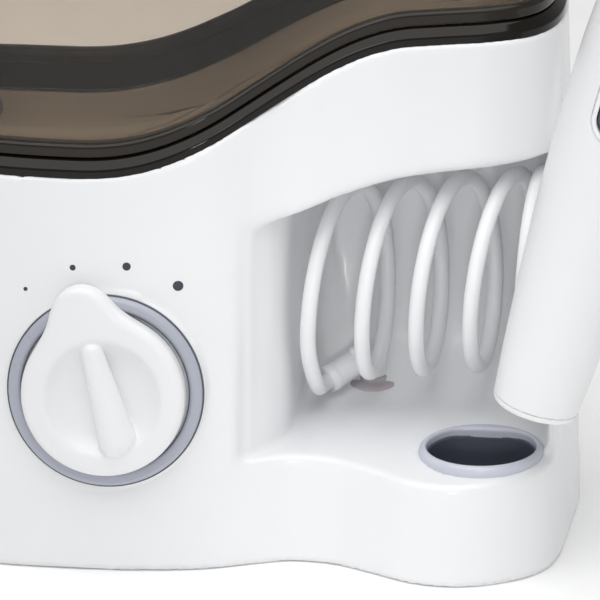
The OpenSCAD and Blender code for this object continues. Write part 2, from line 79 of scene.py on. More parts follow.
LEFT_SIDE = [(-98, -36), (-80, -48), (-58, -53), (-38, -54), (-18, -53), (0, -49.5)]
REAR_SIDE = [(80, 55), (40, 56), (0, 56), (-50, 56), (-86, 53), (-98, 42), (-100, 20), (-100, -15)]
BASE_PTS = LEFT_SIDE + [
    (13, -43.5), (24, -39), (36, -40), (48, -46), (60, -53), (73, -55), (86, -50), (96, -40), (100, -26),
    (100, 0), (99, 30), (94, 48),
] + REAR_SIDE
TOP_PTS = LEFT_SIDE + [
    (12, -44.5), (25, -39.5), (40, -34), (54, -29), (68, -23.5), (81, -18.5), (92, -11), (98, 0), (100, 16),
    (98, 38), (92, 50),
] + REAR_SIDE
BAY_PTS = [
    (6, -70), (9, -44), (13, -37), (18, -30), (21, -22), (22, -8), (23, 20), (26, 29), (33, BAY_BACK),
    (BAY_RIGHT - 6.8, BAY_BACK), (BAY_RIGHT - 2.2, BAY_BACK - 2), (BAY_RIGHT - 0.5, BAY_BACK - 11),
    (BAY_RIGHT, 4), (BAY_RIGHT, -70),
]
CEILING = [(-20, 100), (12, 101), (23, 103), (38, 108.5), (54, 112.5), (76, 114), (97, 115), (130, 115)]


# ---------------------------------------------------------------- curves and outlines
def closed_curve(points, n):
    """Catmull-Rom curve through a closed ring of points, n samples to a span."""
    p = np.array(points, float)
    a, c, d = np.roll(p, 1, 0), np.roll(p, -1, 0), np.roll(p, -2, 0)
    t = (np.arange(n) / n)[None, :, None]
    a, b, c, d = (v[:, None, :] for v in (a, p, c, d))
    curve = 2 * b + (c - a) * t + (2 * a - 5 * b + 4 * c - d) * t**2 + (3 * b - a - 3 * c + d) * t**3
    return (0.5 * curve).reshape(-1, 2)


def open_curve(points, n):
    """Catmull-Rom curve through an open list of points in any dimension."""
    p = np.array(points, float)
    p = np.vstack([2 * p[0] - p[1], p, 2 * p[-1] - p[-2]])
    t = (np.arange(n) / n)[None, :, None]
    a, b, c, d = (p[i : len(p) - 3 + i, None, :] for i in range(4))
    curve = 2 * b + (c - a) * t + (2 * a - 5 * b + 4 * c - d) * t**2 + (3 * b - a - 3 * c + d) * t**3
    return np.vstack([(0.5 * curve).reshape(-1, p.shape[1]), p[-2:-1]])


def even(points, n, closed=False):
    """The same line cut into n equal steps."""
    p = np.vstack([points, points[:1]]) if closed else np.array(points)
    run = np.concatenate([[0], np.cumsum(np.linalg.norm(np.diff(p, axis=0), axis=1))])
    at = np.linspace(0, run[-1], n + 1)[: n if closed else n + 1]
    return np.stack([np.interp(at, run, p[:, k]) for k in range(p.shape[1])], 1)


def inset(p, d):
    """Moves each point of an anticlockwise outline inwards."""
    t = np.roll(p, -1, 0) - np.roll(p, 1, 0)
    t /= np.linalg.norm(t, axis=1)[:, None]
    return p + d * np.stack([-t[:, 1], t[:, 0]], 1)


def scaled(p, z):
    """An outline as the housing's taper shrinks it at height z."""
    q = z / TAPER_H
    return p * [1 - (1 - TAPER_X) * q, 1 - (1 - TAPER_Y) * q]


def smoothstep(v, lo, hi):
    """0 up to lo, 1 from hi, and a smooth rise between."""
    t = np.clip((v - lo) / (hi - lo), 0, 1)
    return t * t * (3 - 2 * t)


def wave_z(x, y):
    """Height of the wave that parts the housing from the tank."""
    s = x * math.cos(WAVE_TURN) + (y - REF_FRONT) * math.sin(WAVE_TURN)
    t = np.clip((s - WAVE_START) / WAVE_RUN, 0, 1) ** WAVE_EASE
    return DECK_LOW + WAVE_RISE * (1 - np.cos(np.pi * t)) / 2


def shelf_z(y):
    """Height of the shelf under the handset, which rises to the back."""
    return SHELF_Z + math.tan(SHELF_TILT) * (y - SHELF_FRONT)


OUTLINE_POINTS = 320
TOP_CURVE = even(closed_curve(TOP_PTS, 16), OUTLINE_POINTS, closed=True)
BASE_CURVE = even(closed_curve(BASE_PTS, 16), OUTLINE_POINTS, closed=True)


# ---------------------------------------------------------------- distance fields
class Outline:
    """Signed distance to a closed outline, looked up in a grid. Negative inside."""

    STEP = 0.5

    def __init__(self, points, margin=14):
        p = np.array(points, float)
        self.lo = p.min(0) - margin
        count = np.ceil((p.max(0) + margin - self.lo) / self.STEP).astype(int) + 2
        gx, gy = (self.lo[k] + self.STEP * np.arange(count[k]) for k in range(2))
        x, y = np.meshgrid(gx, gy, indexing="ij")
        best, inside = np.full(x.shape, 1e9), np.zeros(x.shape, bool)
        for a, b in zip(p, np.roll(p, -1, 0)):
            e = b - a
            wx, wy = x - a[0], y - a[1]
            t = np.clip((wx * e[0] + wy * e[1]) / max(e @ e, 1e-12), 0, 1)
            best = np.minimum(best, (wx - t * e[0]) ** 2 + (wy - t * e[1]) ** 2)
            if a[1] != b[1]:
                crosses = (a[1] > y) != (b[1] > y)
                inside ^= crosses & (x < a[0] + (y - a[1]) * e[0] / e[1])
        self.grid = np.where(inside, -1, 1) * np.sqrt(best)

    def __call__(self, x, y):
        x, y = np.broadcast_arrays(x, y)
        gx = np.clip((x - self.lo[0]) / self.STEP, 0, self.grid.shape[0] - 1.001)
        gy = np.clip((y - self.lo[1]) / self.STEP, 0, self.grid.shape[1] - 1.001)
        i, j = gx.astype(int), gy.astype(int)
        u, v = gx - i, gy - j
        g = self.grid
        low = g[i, j] * (1 - u) + g[i + 1, j] * u
        high = g[i, j + 1] * (1 - u) + g[i + 1, j + 1] * u
        return low * (1 - v) + high * v


def smooth_max(a, b, k):
    """Intersection with its edge rounded over about k."""
    h = np.maximum(k - np.abs(a - b), 0) / k
    return np.maximum(a, b) + h * h * k / 4


def smooth_min(a, b, k):
    """Union with its corner filled over about k."""
    return -smooth_max(-a, -b, k)


def segment(x, y, ax, ay, bx, by):
    """Distance to a line segment in a plane."""
    ex, ey = bx - ax, by - ay
    t = np.clip(((x - ax) * ex + (y - ay) * ey) / (ex * ex + ey * ey), 0, 1)
    return np.hypot(x - ax - t * ex, y - ay - t * ey)


# ---------------------------------------------------------------- meshes
def add_mesh(name, verts, faces, smooth=True):
    """An object from millimetre points, with its faces turned outwards."""
    me = bpy.data.meshes.new(name)
    me.from_pydata((np.asarray(verts, float) * MM).tolist(), [], [list(map(int, f)) for f in faces])
    me.validate()
    bm = bmesh.new()
    bm.from_mesh(me)
    bmesh.ops.recalc_face_normals(bm, faces=bm.faces)
    bm.to_mesh(me)
    bm.free()
    me.polygons.foreach_set("use_smooth", [smooth] * len(me.polygons))
    ob = bpy.data.objects.new(name, me)
    bpy.context.scene.collection.objects.link(ob)
    return ob


SLOPE_STEP, LEAST_SLOPE, NEWTON_REACH = 0.05, 0.05, 0.4


def surface_net(field, lo, hi, step):
    """Vertices and quads of the field's zero surface, pulled onto it by two Newton steps."""
    axes = [np.arange(lo[k], hi[k] + step, step) for k in range(3)]
    x, y, z = np.meshgrid(*axes, indexing="ij", sparse=True)
    v = np.broadcast_to(field(x, y, z), tuple(len(a) for a in axes)).astype(np.float32)
    inside = v < 0
    corners = [(i, j, k) for i in (0, 1) for j in (0, 1) for k in (0, 1)]

    def cell(a, c):
        return a[c[0] : a.shape[0] - 1 + c[0], c[1] : a.shape[1] - 1 + c[1], c[2] : a.shape[2] - 1 + c[2]]

    full = sum(cell(inside, c).astype(np.int8) for c in corners)
    ids = np.argwhere((full > 0) & (full < 8))
    index = np.full(full.shape, -1, np.int64)
    index[tuple(ids.T)] = np.arange(len(ids))
    total, hits = np.zeros((len(ids), 3)), np.zeros(len(ids))
    at = {c: v[tuple((ids + c).T)] for c in corners}
    for c in corners:
        for k in range(3):
            if c[k]:
                continue
            d = tuple(c[m] + (m == k) for m in range(3))
            p, q = at[c], at[d]
            cut = (p < 0) != (q < 0)
            t = np.where(cut, p / np.where(cut, p - q, 1), 0)
            total[cut] += (np.array(c) + t[:, None] * (np.arange(3) == k))[cut]
            hits += cut
    verts = (ids + total / hits[:, None]) * step + [a[0] for a in axes]
    quads = []
    for k in range(3):
        m, n = [j for j in range(3) if j != k]
        a = np.moveaxis(inside, k, 0)
        change = np.argwhere(np.moveaxis(a[1:] != a[:-1], 0, k))
        ok = (change[:, m] > 0) & (change[:, n] > 0)
        ok &= (change[:, m] < full.shape[m]) & (change[:, n] < full.shape[n])
        change = change[ok]
        ring = []
        for dm, dn in ((0, 0), (1, 0), (1, 1), (0, 1)):
            c = change.copy()
            c[:, m] -= dm
            c[:, n] -= dn
            ring.append(index[tuple(c.T)])
        quads.append(np.stack(ring, 1))
    quads = np.vstack(quads)
    quads = quads[(quads >= 0).all(1)]
    for _ in range(2):
        f0, grad = field(*verts.T), np.zeros_like(verts)
        for k in range(3):
            e = np.zeros(3)
            e[k] = SLOPE_STEP
            grad[:, k] = (field(*(verts + e).T) - field(*(verts - e).T)) / (2 * SLOPE_STEP)
        move = -f0[:, None] * grad / np.maximum((grad**2).sum(1), LEAST_SLOPE)[:, None]
        verts += np.clip(move, -NEWTON_REACH * step, NEWTON_REACH * step)
    return verts, quads


def moved(points, place):
    """Points of a piece's own frame in the row frame."""
    m = np.array(place)
    return points @ m[:3, :3].T + m[:3, 3]


def skin(name, field, lo, hi, step, place=None):
    """A rounded moulding: the zero surface of a distance field, optionally moved from its own frame."""
    verts, quads = surface_net(field, lo, hi, step)
    return add_mesh(name, verts if place is None else moved(verts, place), quads)


def grid_faces(rows, n):
    """Quads between rows of n points each."""
    return [
        (r * n + k, r * n + (k + 1) % n, (r + 1) * n + (k + 1) % n, (r + 1) * n + k)
        for r in range(rows - 1)
        for k in range(n)
    ]


def end_caps(rows, n):
    """One face over the first row and one over the last."""
    return [tuple(range(n - 1, -1, -1)), tuple((rows - 1) * n + k for k in range(n))]


def closing_quads(rows, n):
    """Quads that join the last row to the first."""
    last = (rows - 1) * n
    return [(last + k, last + (k + 1) % n, (k + 1) % n, k) for k in range(n)]


def turn_points(d, h, fixed):
    """One turn round the upper outline, inset by d, at height h.

    fixed is the share of the outline taken at HIGH_EDGE instead of at each point's own height.
    """
    z = np.full(len(TOP_CURVE), DECK_LOW + 14)
    level = inset(scaled(TOP_CURVE, HIGH_EDGE), d)
    for _ in range(3):
        q = (z / TAPER_H)[:, None]
        own = inset(TOP_CURVE * (1 - np.hstack([(1 - TAPER_X) * q, (1 - TAPER_Y) * q])), d)
        p = own + fixed * (level - own)
        z = height_of(p, h)
    return np.column_stack([p, z])


def height_of(p, h):
    """Height of each point, where h counts from the table or from the wave."""
    return np.full(len(p), float(h)) if h > TABLE_HEIGHTS else wave_z(p[:, 0], p[:, 1]) + h


def band(name, profile, floors=True):
    """Sweeps a profile of (inset, height, fixed) round the upper outline.

    Floors run both ends in to the middle.
    """
    shares = [0.003, 0.15, 0.3, 0.45, 0.6, 0.72, 0.82, 0.9, 0.96]
    rows = [turn_points(*row) for row in profile]

    def floor_row(edge, h, share):
        middle = edge[:, :2].mean(0)
        p = middle + share * (edge[:, :2] - middle)
        return np.column_stack([p, height_of(p, h)])

    if floors:
        first, last = profile[0][1], profile[-1][1]
        rows = [floor_row(rows[0], first, s) for s in shares] + rows
        rows += [floor_row(rows[-1], last, s) for s in shares[::-1]]
    ends = end_caps if floors else closing_quads
    faces = grid_faces(len(rows), len(TOP_CURVE)) + ends(len(rows), len(TOP_CURVE))
    return add_mesh(name, np.vstack(rows), faces)


LONG_WALL, ROW_BESIDE = 4, 1.4


def rounded(profile, r, n=4):
    """Rounds the inner corners of an open profile with quadratic arcs of reach r.

    On a long wall, a row beside each arc keeps its shading flat. Both are counted in reaches.
    """
    p = [np.array(q, float) for q in profile]
    out = [p[0]]
    for a, b, c in zip(p, p[1:], p[2:]):
        before, after = np.linalg.norm(a - b), np.linalg.norm(c - b)
        reach = min(r, before * 0.45, after * 0.45)
        s, e = b + (a - b) / before * reach, b + (c - b) / after * reach
        if before > LONG_WALL * reach:
            out.append(b + (a - b) / before * reach * ROW_BESIDE)
        out += [(1 - t) ** 2 * s + 2 * t * (1 - t) * b + t * t * e for t in np.linspace(0, 1, n + 1)]
        if after > LONG_WALL * reach:
            out.append(b + (c - b) / after * reach * ROW_BESIDE)
    return out + [p[-1]]


def lathe(name, profile, place, n=96, closed=True):
    """Turns a profile of (radius, height) about the local Z axis."""
    p = np.array(profile, float)
    a = np.linspace(0, 2 * np.pi, n, endpoint=False)
    verts = np.vstack([np.column_stack([r * np.cos(a), r * np.sin(a), np.full(n, h)]) for r, h in p])
    ends = closing_quads if closed else end_caps
    return add_mesh(name, moved(verts, place), grid_faces(len(p), n) + ends(len(p), n))


def tube(name, path, radius, sides=16):
    """Round tube along points, with its frame carried along so that it doesn't twist."""
    p = np.array(path, float)
    t = np.gradient(p, axis=0)
    t /= np.linalg.norm(t, axis=1)[:, None]
    u = np.cross(t[0], [0.3, 0.2, 1])
    verts = []
    a = np.linspace(0, 2 * np.pi, sides, endpoint=False)
    radii = np.broadcast_to(radius, len(p))
    for q, d, r in zip(p, t, radii):
        u = u - (u @ d) * d
        u /= np.linalg.norm(u)
        w = np.cross(d, u)
        verts.append(q + r * (np.outer(np.cos(a), u) + np.outer(np.sin(a), w)))
    return add_mesh(name, np.vstack(verts), grid_faces(len(p), sides) + end_caps(len(p), sides))


# ---------------------------------------------------------------- materials
def new_material(name, **inputs):
    """A material with its uniform values on the shader's own sockets.

    Returns it with its nodes, links and shader.
    """
    mat = bpy.data.materials.new(name)
    mat.use_nodes = True
    nodes, links = mat.node_tree.nodes, mat.node_tree.links
    bsdf = nodes["Principled BSDF"]
    for key, value in inputs.items():
        bsdf.inputs[key.replace("_", " ")].default_value = value
    return mat, nodes, links, bsdf


def texture(nodes, links, kind, **settings):
    """A procedural texture on object coordinates."""
    node = nodes.new(kind)
    for key, value in settings.items():
        node.inputs[key].default_value = value
    links.new(nodes.new("ShaderNodeTexCoord").outputs["Object"], node.inputs["Vector"])
    return node


def ramp(nodes, links, source, low, high, lo=0.3, hi=0.7):
    """Two colours spread over a texture."""
    node = nodes.new("ShaderNodeValToRGB")
    node.color_ramp.elements[0].position, node.color_ramp.elements[1].position = lo, hi
    node.color_ramp.elements[0].color, node.color_ramp.elements[1].color = (*low, 1), (*high, 1)
    links.new(source, node.inputs["Fac"])
    return node


def bumpy(nodes, links, bsdf, source, strength, distance):
    """Uses a texture as a fine bump."""
    node = nodes.new("ShaderNodeBump")
    node.inputs["Strength"].default_value, node.inputs["Distance"].default_value = strength, distance
    links.new(source, node.inputs["Height"])
    links.new(node.outputs["Normal"], bsdf.inputs["Normal"])


def moulded(name, colour, roughness, grain=900.0, bump=0.05, vary=0.03, **inputs):
    """Injection-moulded plastic: faint mottling of colour and gloss, and a fine skin."""
    mat, nodes, links, bsdf = new_material(name, **inputs)
    cloud = texture(nodes, links, "ShaderNodeTexNoise", Scale=22.0, Detail=3.0, Roughness=0.6)
    tones = [c * (1 - vary) for c in colour], [min(1, c * (1 + vary)) for c in colour]
    links.new(ramp(nodes, links, cloud.outputs["Fac"], *tones).outputs["Color"], bsdf.inputs["Base Color"])
    gloss = nodes.new("ShaderNodeMapRange")
    gloss.inputs["To Min"].default_value = roughness * 0.85
    gloss.inputs["To Max"].default_value = roughness * 1.15
    links.new(cloud.outputs["Fac"], gloss.inputs["Value"])
    links.new(gloss.outputs["Result"], bsdf.inputs["Roughness"])
    fine = texture(nodes, links, "ShaderNodeTexNoise", Scale=grain, Detail=2.0)
    bumpy(nodes, links, bsdf, fine.outputs["Fac"], bump, 0.0002)
    return mat


def metal(name, colour, roughness):
    """Turned or drawn metal with fine lines across it."""
    mat, nodes, links, bsdf = new_material(name, Metallic=1.0)
    lines = texture(nodes, links, "ShaderNodeTexNoise", Scale=260.0, Detail=4.0, Distortion=1.5)
    tones = [c * 0.85 for c in colour], [min(1, c * 1.08) for c in colour]
    links.new(ramp(nodes, links, lines.outputs["Fac"], *tones).outputs["Color"], bsdf.inputs["Base Color"])
    bsdf.inputs["Roughness"].default_value = roughness
    bumpy(nodes, links, bsdf, lines.outputs["Fac"], 0.08, 0.0002)
    return mat


def smoked(name, colour, roughness=0.03):
    """Transparent tinted plastic with a trace of flow ripple."""
    mat, nodes, links, bsdf = new_material(name, IOR=1.32, Roughness=roughness)
    bsdf.inputs["Transmission Weight"].default_value = 1.0
    ripple = texture(nodes, links, "ShaderNodeTexNoise", Scale=14.0, Detail=1.0)
    tones = [c * 0.97 for c in colour], [min(1, c * 1.03) for c in colour]
    links.new(ramp(nodes, links, ripple.outputs["Fac"], *tones).outputs["Color"], bsdf.inputs["Base Color"])
    bumpy(nodes, links, bsdf, ripple.outputs["Fac"], 0.02, 0.0005)
    return mat


WHITE = moulded("white_moulding", (0.875, 0.885, 0.90), 0.24, bump=0.03, vary=0.012)
SATIN_WHITE = moulded("satin_white_moulding", (0.86, 0.865, 0.875), 0.34, bump=0.04, vary=0.012)
HOSE_WHITE = moulded("hose_white", (0.88, 0.885, 0.9), 0.36, bump=0.03, vary=0.015)
BLUE_GREY = moulded("blue_grey_moulding", (0.42, 0.44, 0.505), 0.28, bump=0.03, vary=0.02)
BEZEL = moulded("pale_blue_grey_moulding", (0.60, 0.62, 0.70), 0.22, bump=0.02, vary=0.02)
RIM_DARK = moulded("dark_rim", (0.09, 0.10, 0.12), 0.35, bump=0.02)
PRINT = moulded("dark_print", (0.04, 0.045, 0.06), 0.5, bump=0.02)
DARK_GLOSS = {"bump": 0.01, "vary": 0.1}
BLACK_GLOSS = moulded("black_gloss", (0.010, 0.008, 0.006), 0.08, Specular_IOR_Level=0.25, **DARK_GLOSS)
DECK = moulded("tank_deck", (0.92, 0.86, 0.80), 0.35, bump=0.03, vary=0.03)
SLATE = moulded("slate_plastic", (0.085, 0.092, 0.125), 0.42, bump=0.08, vary=0.04)
COVER = moulded("cover_plastic", (0.62, 0.62, 0.62), 0.5, grain=500, bump=0.2)
GROMMET = moulded("grommet", (0.50, 0.45, 0.47), 0.5, grain=500, bump=0.1)
INNER = moulded("inner_plastic", (0.32, 0.32, 0.33), 0.55, grain=400, bump=0.2)
ACETAL = moulded("acetal", (0.78, 0.74, 0.6), 0.35)
RUBBER = moulded("rubber", (0.03, 0.03, 0.03), 0.8, grain=600, bump=0.3, vary=0.1)
BOARD = moulded("board_lacquer", (0.02, 0.12, 0.05), 0.3, vary=0.15)
STEEL = metal("steel", (0.6, 0.6, 0.61), 0.3)
BRASS = metal("brass", (0.72, 0.52, 0.22), 0.3)
SMOKED = smoked("smoked_plastic", (0.775, 0.72, 0.655))
SMOKED_DARK = moulded("dark_smoked_edge", (0.020, 0.016, 0.012), 0.06, Specular_IOR_Level=0.3, **DARK_GLOSS)
SMOKED_LID = smoked("smoked_lid_plastic", (0.92, 0.90, 0.87), 0.06)

CAD_LOOKS = {
    "white_shell": WHITE, "cover_plastic": COVER, "rubber": RUBBER, "steel": STEEL,
    "black_gloss": BLACK_GLOSS, "blue_grey": BLUE_GREY, "dark_print": PRINT, "inner_plastic": INNER,
    "hose_white": HOSE_WHITE, "gear_plastic": ACETAL, "brass": BRASS, "board": BOARD, "smoked": SMOKED,
    "slate": SLATE,
}


def dress_cad():
    """Gives each carried-over CAD node its material and smooth shading on its curved walls."""
    slots = {s["node"]: s["material_slot"] for s in frame["record"]["subparts"]}
    for name, ob in frame["nodes"].items():
        ob.data.materials.clear()
        ob.data.materials.append(CAD_LOOKS[slots[name]])
        ob.data.set_sharp_from_angle(angle=math.radians(32))


def finish_piece(ob, material, body, slot, *nodes):
    """Material, body and the CAD nodes that a piece stands for. The slot argument is not used."""
    ob.data.materials.clear()
    ob.data.materials.append(material)
    if body:
        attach(ob, body)
    if nodes:
        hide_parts(*nodes)
    return ob


# ---------------------------------------------------------------- camera, light and floor
VIEW_AZIMUTH, VIEW_ELEVATION = math.radians(8), math.radians(19)
AIM = Vector((28, -47, 82.5)) * MM
FRAME_WIDTH, CAMERA_AWAY = 171.43 * MM, 8.0
SENSOR = 36.0
WORLD_STRENGTH, FLOOR_GLOW, FLOOR_HALF = 0.30, 0.10, 6

# name, place, aim, size and watts
AREA_LIGHTS = [
    ("top", (0.0, -0.45, 1.5), (0, 0, 0.05), (2.0, 1.6), 20.5),
    ("front", (0.1, -1.1, 1.2), (0.03, 0, 0.06), (0.5, 0.5), 2.0),
]
BAY_SPOT = {"energy": 26.0, "spot_size": math.radians(7.5), "spot_blend": 1.0, "shadow_soft_size": 0.10}
BAY_SPOT_PLACE, BAY_SPOT_AIM = (0.2, -1.2, 0.3), (0.06, 0, 0.072)


def make_camera():
    back = Vector((
        math.sin(VIEW_AZIMUTH) * math.cos(VIEW_ELEVATION),
        -math.cos(VIEW_AZIMUTH) * math.cos(VIEW_ELEVATION),
        math.sin(VIEW_ELEVATION),
    ))
    data = bpy.data.cameras.new("camera")
    data.sensor_width = SENSOR
    data.lens = SENSOR * CAMERA_AWAY / FRAME_WIDTH
    data.clip_start, data.clip_end = 0.1, 20
    cam = bpy.data.objects.new("camera", data)
    bpy.context.scene.collection.objects.link(cam)
    cam.location = AIM + back * CAMERA_AWAY
    cam.rotation_mode = "QUATERNION"
    cam.rotation_quaternion = (-back).to_track_quat("-Z", "Y")
    bpy.context.scene.camera = cam


def area_light(name, place, aim, size, power):
    data = bpy.data.lights.new(name, "AREA")
    data.shape, data.size, data.size_y = "RECTANGLE", size[0], size[1]
    data.energy = power
    place_light(data, place, aim)


def place_light(data, place, aim):
    ob = bpy.data.objects.new(data.name, data)
    bpy.context.scene.collection.objects.link(ob)
    ob.location = place
    ob.rotation_mode = "QUATERNION"
    ob.rotation_quaternion = (Vector(aim) - Vector(place)).to_track_quat("-Z", "Y")


def make_studio():
    scene = bpy.context.scene
    scene.view_settings.view_transform = "Standard"
    world = bpy.data.worlds.new("studio")
    world.use_nodes = True
    world.node_tree.nodes["Background"].inputs["Color"].default_value = (1, 1, 1, 1)
    world.node_tree.nodes["Background"].inputs["Strength"].default_value = WORLD_STRENGTH
    scene.world = world
    for light in AREA_LIGHTS:
        area_light(*light)
    spot = bpy.data.lights.new("bay_kicker", "SPOT")
    for key, value in BAY_SPOT.items():
        setattr(spot, key, value)
    place_light(spot, BAY_SPOT_PLACE, BAY_SPOT_AIM)
    make_floor()


def make_floor():
    corners = np.array([(-1, -1, 0), (1, -1, 0), (1, 1, 0), (-1, 1, 0)]) * FLOOR_HALF
    floor = add_mesh("floor", corners / MM, [(0, 1, 2, 3)], smooth=False)
    mat, nodes, links, bsdf = new_material(
        "floor_paper", Roughness=0.9, Emission_Color=(1, 1, 1, 1), Emission_Strength=FLOOR_GLOW)
    paper = texture(nodes, links, "ShaderNodeTexNoise", Scale=60.0, Detail=3.0)
    tint = ramp(nodes, links, paper.outputs["Fac"], (0.93, 0.93, 0.93), (0.96, 0.96, 0.96))
    links.new(tint.outputs["Color"], bsdf.inputs["Base Color"])
    floor.data.materials.append(mat)


# ---------------------------------------------------------------- places
def turned(position, axis, angle):
    return Matrix.Translation(position) @ Matrix.Rotation(angle, 4, axis)


AT_DIAL = turned(DIAL_POS, "X", math.pi / 2 - DIAL_TILT)
AT_KNOB = AT_DIAL @ Matrix.Rotation(-DIAL_REST, 4, "Z")
AT_GRIP = turned(GRIP_BASE, "Y", LEAN)
AT_SOCKET = turned(Vector((*SOCKET_XY, shelf_z(SOCKET_XY[1]))), "X", math.radians(2))


def local(place, x, y, z):
    """Row-frame points in a piece's own frame."""
    m = np.array(place.inverted())
    return tuple(m[k, 0] * x + m[k, 1] * y + m[k, 2] * z + m[k, 3] for k in range(3))


# ---------------------------------------------------------------- housing
top_field, base_field = Outline(TOP_CURVE), Outline(BASE_CURVE)
bay_field = Outline(open_curve(BAY_PTS, 8), margin=40)
ceiling_line = open_curve(CEILING, 8)
BAY_SIDE_WALL, SOCKET_HOLE_R, STEM_HOLE_R = 1.6, 17.05, 5.5


def housing_core(x, y, z):
    """The housing's form without its top and bottom cuts."""
    q = z / TAPER_H
    ux, uy = x / (1 - (1 - TAPER_X) * q), y / (1 - (1 - TAPER_Y) * q)
    base, top = base_field(ux, uy), top_field(ux, uy)
    # the bay leaves a thin wall at its right rear corner and is open at the front
    side_wall = top + BAY_SIDE_WALL - 60 * smoothstep(-y, -6, 6)
    # left of the bay and at the back, the upper outline takes nothing off the lower one
    top = top - 6 * np.maximum(smoothstep(-x, -14, -2), smoothstep(y, 12, 28))
    ceiling = np.interp(x, ceiling_line[:, 0], ceiling_line[:, 1])
    bay = np.maximum(smooth_max(bay_field(x, y), z - ceiling, 5), side_wall)
    # right of the bay, a wall with a slanted front edge stays in place
    gusset = np.maximum(BAY_RIGHT - x, (-y - 29) * 0.96 + (z - 31) * 0.28)
    outside = smooth_max(-top, -gusset, 3)
    above = (shelf_z(y) - z) * math.cos(SHELF_TILT)
    removed = smooth_max(above, smooth_min(outside, bay, 3), 3)
    # the shelf curves up into the bay's back wall
    ramp_back = (y - 17) * 0.84 - (z - 36.5) * 0.54
    removed = smooth_max(removed, ramp_back, 14)
    core = smooth_max(base, -removed, 2.2)
    return smooth_min(core, dial_pad(x, y, z), 1.5)


def dial_pad(x, y, z):
    """Flat round face behind the dial, raised out of the sloping wall."""
    px, py, pz = local(AT_DIAL, x, y, z)
    return np.maximum(np.hypot(px, py) - RING_R - 0.5, np.maximum(-9 - pz, pz))


def housing(x, y, z):
    """The shell, cut to the wave at the top and bored for the socket and the dial's stem."""
    core = housing_core(x, y, z)
    body = smooth_max(core, (z - wave_z(x, y)) * 0.93, 1.2)
    body = smooth_max(body, 0.3 - z, 0.8)
    px, py, pz = local(AT_SOCKET, x, y, z)
    body = np.maximum(body, -np.maximum(np.hypot(px, py) - SOCKET_HOLE_R, np.abs(pz) - 22))
    px, py, pz = local(AT_DIAL, x, y, z)
    body = np.maximum(body, -np.maximum(np.hypot(px, py) - STEM_HOLE_R, np.abs(pz) - 15))
    return np.maximum(body, -(core + WALL))


def make_housing():
    ob = skin("housing_shell", housing, (-104, -60, -1), (104, 60, 156), 1.3)
    finish_piece(ob, WHITE, "base", "white_shell", "main_housing")


# ---------------------------------------------------------------- tank and tray
def make_tray():
    rim = rounded([
        (2.9, -7.9, 1), (2.9, -0.4, 1), (0.55, -0.35, 0), (0.45, 2.2, 0), (2.3, 4.6, 0), (3.4, 4.95, 0),
        (4.4, 4.9, 1), (4.4, -5.4, 1), (4.4, -7.9, 1),
    ], 0.5)
    finish_piece(band("tank_tray_rim", rim, floors=False), BLACK_GLOSS, "base", "black_gloss", "tank_tray")
    deck = [(4.5, -7.9, 1), (4.5, -5.5, 1)]
    finish_piece(band("tank_tray_deck", deck), DECK, "base", "black_gloss")


def make_tank():
    side, inner = WALL + 2.3, WALL + 2.3 + TANK_WALL
    wall = rounded([
        (side + 4, -4.9, 1), (side, -4.9, 1), (side, TANK_TOP, 1), (inner, TANK_TOP, 1), (inner, -2.6, 1),
        (inner + 3, -2.6, 1),
    ], 0.8)
    finish_piece(band("tank_shell", wall), SMOKED, "tank", "smoked", "water_tank")
    back = side + 0.5
    skirt = rounded([(back, 5.3, 1), (2.5, 5.3, 0), (2.4, 8.5, 0), (3.2, 9.3, 0), (back, 9.4, 1)], 0.6)
    finish_piece(band("tank_skirt", skirt, floors=False), SMOKED_DARK, "tank", "smoked")


def make_lid():
    side, rim = WALL + 1.7, WALL + 2.7 + TANK_WALL
    low, top = TANK_TOP + 0.35, TANK_TOP + 4.2
    profile = rounded([
        (rim + 2, TANK_TOP + 1.7, 1), (rim + 2, TANK_TOP - 3.9, 1), (rim, TANK_TOP - 3.9, 1), (rim, low, 1),
        (side, low, 1), (side, top, 1), (side + 6, top, 1), (side + 7, top - 0.6, 1),
    ], 1.0)
    finish_piece(band("tank_lid_plate", profile), SMOKED_LID, "lid", "smoked", "tank_lid")


# ---------------------------------------------------------------- dial
KNOB_TOP, LOBE_END, LOBE_R, DISH_R, DISH_FLOOR, STEM_BORE_R = 8.5, 24.6, 8.3, 17.2, 3.8, 4.2


def knob(x, y, z):
    """Disc with a pointer lobe, a round dish and a finger ridge across it."""
    r = np.hypot(x, y)
    lobe = segment(x, y, 0, 12, 0, LOBE_END) - LOBE_R
    shape = smooth_max(smooth_min(r - DIAL_R + 0.3, lobe, 9), np.maximum(0.9 - z, z - KNOB_TOP), 2.6)
    dish = smooth_max((np.hypot(x, y + 0.4) - DISH_R + (KNOB_TOP - z) * 0.9) / 1.35, DISH_FLOOR - z, 5)
    shape = smooth_max(shape, -dish, 0.9)
    # the ridge tapers, falls away from its pointer end and is fuller on one side
    t = np.clip((13.6 - y) / 27.4, 0, 1)
    side = np.where(x > 0, 0.72 * x, x)
    ridge = np.sqrt(side**2 + (y - 13.6 + 27.4 * t) ** 2 + (1.05 * (z - 7.0 + 0.6 * t)) ** 2) - 2.7 - 1.9 * t
    shape = smooth_min(shape, np.maximum(ridge, 1.5 - z), 0.6)
    return np.maximum(shape, -np.maximum(r - STEM_BORE_R, z - 3.0))


